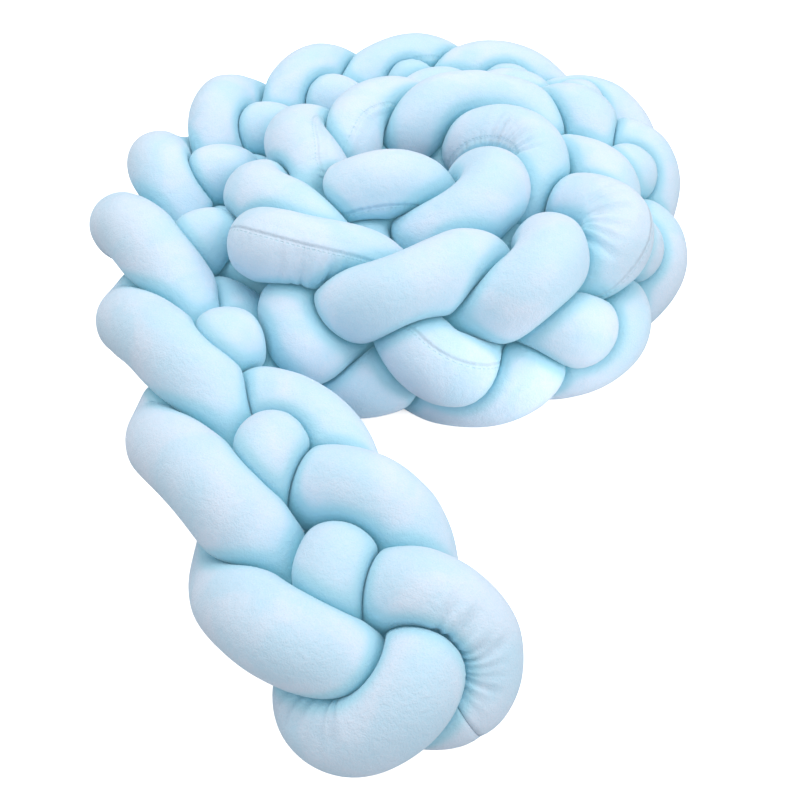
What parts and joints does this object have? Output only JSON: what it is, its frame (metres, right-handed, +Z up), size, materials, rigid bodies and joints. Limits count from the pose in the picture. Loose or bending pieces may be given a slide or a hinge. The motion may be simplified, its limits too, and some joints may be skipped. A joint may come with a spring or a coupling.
{
  "type": "braided crib bumper",
  "caption": "Crib bumper of stuffed velvet tubes in a flat braid, lying as a short tail that runs into a coil, with looped ends sewn in pairs.",
  "frame": {"origin": "centre of the outline seen from above, on the surface the bumper lies on", "axes": "+Z up; -Y towards the open end of the tail, +Y towards the back of the coil, the longest direction; +X to the right of both"},
  "size_m": [0.7038, 1.0736, 0.2123],
  "materials": {
    "velvet": "short-pile velvet, matt with a soft sheen"
  },
  "bodies": {
    "root": {"strand_1": "velvet", "strand_2": "velvet", "strand_3": "velvet", "strand_4": "velvet"}
  },
  "joints": []
}
